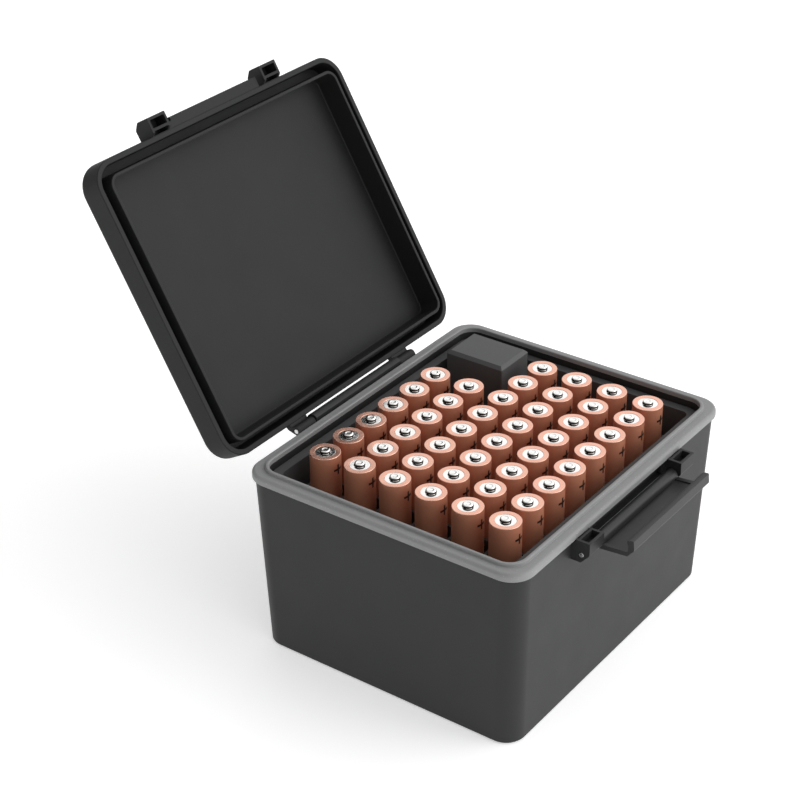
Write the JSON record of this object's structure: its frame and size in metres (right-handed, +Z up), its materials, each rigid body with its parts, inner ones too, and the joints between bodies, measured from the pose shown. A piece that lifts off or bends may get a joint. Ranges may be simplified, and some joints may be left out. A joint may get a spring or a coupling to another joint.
{
  "type": "battery storage case",
  "caption": "Moulded case with a hinged lid and a snap latch; a lift-out tray holds rows of round cells beside a plain corner block.",
  "frame": {"origin": "centre of the flat underside", "axes": "+X right seen from the latch, +Y towards the hinge, +Z up"},
  "size_m": [0.1792, 0.2628, 0.2311],
  "materials": {
    "case_plastic": "moulded, fine grain, charcoal grey",
    "seal_rubber": "smooth, soft, mid grey",
    "lid_plastic": "moulded, fine grain, charcoal grey",
    "latch_plastic": "moulded, charcoal grey",
    "tray_plastic": "moulded, near black",
    "block_plastic": "moulded, charcoal grey",
    "pin_steel": "bright drawn wire",
    "cell_steel": "nickel-plated steel, polished",
    "cell_print": "shrink sleeve, metallic copper brown"
  },
  "bodies": {
    "case": {"case_body": "case_plastic", "rim_seal": "seal_rubber", "hinge_pin": "pin_steel", "latch_pin": "pin_steel"},
    "lid": {"lid_shell": "lid_plastic"},
    "latch": {"latch_flap": "latch_plastic"},
    "tray": {"cell_tray": "tray_plastic", "long_slat_1": "tray_plastic", "long_slat_2": "tray_plastic", "long_slat_3": "tray_plastic", "long_slat_4": "tray_plastic", "long_slat_5": "tray_plastic", "long_slat_6": "tray_plastic", "long_slat_7": "tray_plastic", "cross_slat_1": "tray_plastic", "cross_slat_2": "tray_plastic", "cross_slat_3": "tray_plastic", "cross_slat_4": "tray_plastic", "cross_slat_5": "tray_plastic", "cross_slat_6": "tray_plastic", "cross_slat_7": "tray_plastic", "cross_slat_8": "tray_plastic", "cross_slat_9": "tray_plastic"},
    "block": {"corner_block": "block_plastic"},
    "row_1": {"row_1_cans": "cell_steel", "row_1_sleeves": "cell_print", "row_1_washers": "cell_print"},
    "row_2": {"row_2_cans": "cell_steel", "row_2_sleeves": "cell_print", "row_2_washers": "cell_print"},
    "row_3": {"row_3_cans": "cell_steel", "row_3_sleeves": "cell_print", "row_3_washers": "cell_print"},
    "row_4": {"row_4_cans": "cell_steel", "row_4_sleeves": "cell_print", "row_4_washers": "cell_print"},
    "row_5": {"row_5_cans": "cell_steel", "row_5_sleeves": "cell_print", "row_5_washers": "cell_print"},
    "row_6": {"row_6_cans": "cell_steel", "row_6_sleeves": "cell_print", "row_6_washers": "cell_print"}
  },
  "joints": [
    {"name": "lid_swing", "type": "hinge", "parent": "case", "child": "lid", "pos_m": [0, 0.07744, 0.0933], "axis": [-1, 0, 0], "range_deg": [-120.4, 0]},
    {"name": "latch_swing", "type": "hinge", "parent": "case", "child": "latch", "pos_m": [0, -0.07812, 0.0849], "axis": [1, 0, 0], "range_deg": [-85, 90]},
    {"name": "tray_lift", "type": "slide", "parent": "case", "child": "tray", "axis": [0, 0, 1], "range_m": [0, 0.06]},
    {"name": "block_lift", "type": "slide", "parent": "tray", "child": "block", "axis": [0, 0, 1], "range_m": [0, 0.045]},
    {"name": "row_1_lift", "type": "slide", "parent": "tray", "child": "row_1", "axis": [0, 0, 1], "range_m": [0, 0.045]},
    {"name": "row_2_lift", "type": "slide", "parent": "tray", "child": "row_2", "axis": [0, 0, 1], "range_m": [0, 0.045]},
    {"name": "row_3_lift", "type": "slide", "parent": "tray", "child": "row_3", "axis": [0, 0, 1], "range_m": [0, 0.045]},
    {"name": "row_4_lift", "type": "slide", "parent": "tray", "child": "row_4", "axis": [0, 0, 1], "range_m": [0, 0.045]},
    {"name": "row_5_lift", "type": "slide", "parent": "tray", "child": "row_5", "axis": [0, 0, 1], "range_m": [0, 0.045]},
    {"name": "row_6_lift", "type": "slide", "parent": "tray", "child": "row_6", "axis": [0, 0, 1], "range_m": [0, 0.045]}
  ]
}
